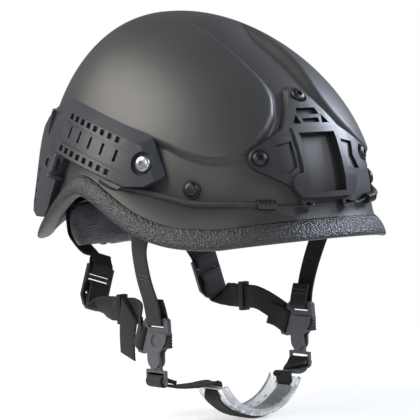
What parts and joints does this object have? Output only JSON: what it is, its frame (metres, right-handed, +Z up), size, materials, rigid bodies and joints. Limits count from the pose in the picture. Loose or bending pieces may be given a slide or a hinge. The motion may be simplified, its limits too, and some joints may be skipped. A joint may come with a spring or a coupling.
{
  "type": "combat helmet",
  "caption": "High cut combat helmet with a front accessory mount, side rails, brow shock cords, comfort pads and a chin harness with a clear cup.",
  "frame": {"origin": "middle of the head opening, level with the lowest part of the front brim", "axes": "+Z up, -Y the way the wearer looks, +X towards the wearer's left"},
  "size_m": [0.2486, 0.304, 0.3198],
  "materials": {
    "shell_coat": "matte sprayed coating",
    "trim_rubber": "matt",
    "mount_plastic": "satin",
    "black_screw": "blackened",
    "dark_nut": "blackened",
    "rail_plastic": "satin moulded",
    "bright_screw": "plated",
    "clip_plastic": "satin",
    "cord_black": "braided",
    "ferrule_plastic": "matt",
    "wire": "dark plated",
    "dark_bolt": "matt",
    "pad_cover": "brushed knit",
    "nape_leather": "soft grained",
    "webbing": "woven",
    "buckle_plastic": "satin",
    "divider_plastic": "satin moulded",
    "link_plastic": "satin moulded",
    "cup_clear": "clear, scuffed"
  },
  "bodies": {
    "helmet": {"shell": "shell_coat", "edge_trim": "trim_rubber", "front_mount": "mount_plastic", "mount_screws": "black_screw", "mount_nuts": "dark_nut", "rail_right": "rail_plastic", "rail_left": "rail_plastic", "rail_screws_right": "bright_screw", "rail_screws_left": "bright_screw", "rail_nuts_right": "dark_nut", "rail_nuts_left": "dark_nut", "rail_cord_right": "cord_black", "rail_cord_left": "cord_black", "bungee_right": "cord_black", "bungee_left": "cord_black", "ferrule_right": "ferrule_plastic", "ferrule_left": "ferrule_plastic", "hook_right": "wire", "hook_left": "wire", "harness_bolts": "dark_bolt", "harness_nuts": "dark_nut", "pad_crown": "pad_cover", "pad_front": "pad_cover", "pad_rear": "pad_cover", "pads_right": "pad_cover", "pads_left": "pad_cover", "nape_pad": "nape_leather", "front_strap_right": "webbing", "front_strap_left": "webbing", "rear_strap_right": "webbing", "rear_strap_left": "webbing", "ladder_lock_right": "buckle_plastic", "ladder_lock_left": "buckle_plastic", "lower_strap_right": "webbing", "lower_strap_left": "webbing", "divider_right": "divider_plastic", "divider_left": "divider_plastic"},
    "clip_right": {"rail_clip_right": "clip_plastic"},
    "clip_left": {"rail_clip_left": "clip_plastic"},
    "strap_keeper_right": {"keeper_right": "buckle_plastic"},
    "strap_keeper_left": {"keeper_left": "buckle_plastic"},
    "press_right": {"latch_right": "buckle_plastic"},
    "press_left": {"latch_left": "buckle_plastic"},
    "chin_loop": {"link_right": "link_plastic", "link_left": "link_plastic", "chin_strap": "webbing", "chin_cup": "cup_clear"}
  },
  "joints": [
    {"name": "clip_right_hinge", "type": "hinge", "parent": "helmet", "child": "clip_right", "pos_m": [-0.1158, 0.04352, 0.05815], "axis": [0.2588, -0.2824, 0.9237], "range_deg": [0, 80]},
    {"name": "clip_left_hinge", "type": "hinge", "parent": "helmet", "child": "clip_left", "pos_m": [0.1158, 0.04352, 0.05815], "axis": [0.2588, 0.2824, -0.9237], "range_deg": [0, 80]},
    {"name": "keeper_right_slide", "type": "slide", "parent": "helmet", "child": "strap_keeper_right", "axis": [0, 1, 0], "range_m": [0, 0.01]},
    {"name": "keeper_left_slide", "type": "slide", "parent": "helmet", "child": "strap_keeper_left", "axis": [0, 1, 0], "range_m": [0, 0.01]},
    {"name": "latch_right_press", "type": "slide", "parent": "helmet", "child": "press_right", "axis": [0, 1, 0], "range_m": [0, 0.002], "stiffness_N_per_m": 400},
    {"name": "latch_left_press", "type": "slide", "parent": "helmet", "child": "press_left", "axis": [0, 1, 0], "range_m": [0, 0.002], "stiffness_N_per_m": 400},
    {"name": "chin_loop_swing", "type": "hinge", "parent": "helmet", "child": "chin_loop", "pos_m": [0, -0.022, -0.092], "axis": [1, 0, 0], "range_deg": [-30, 30]}
  ]
}
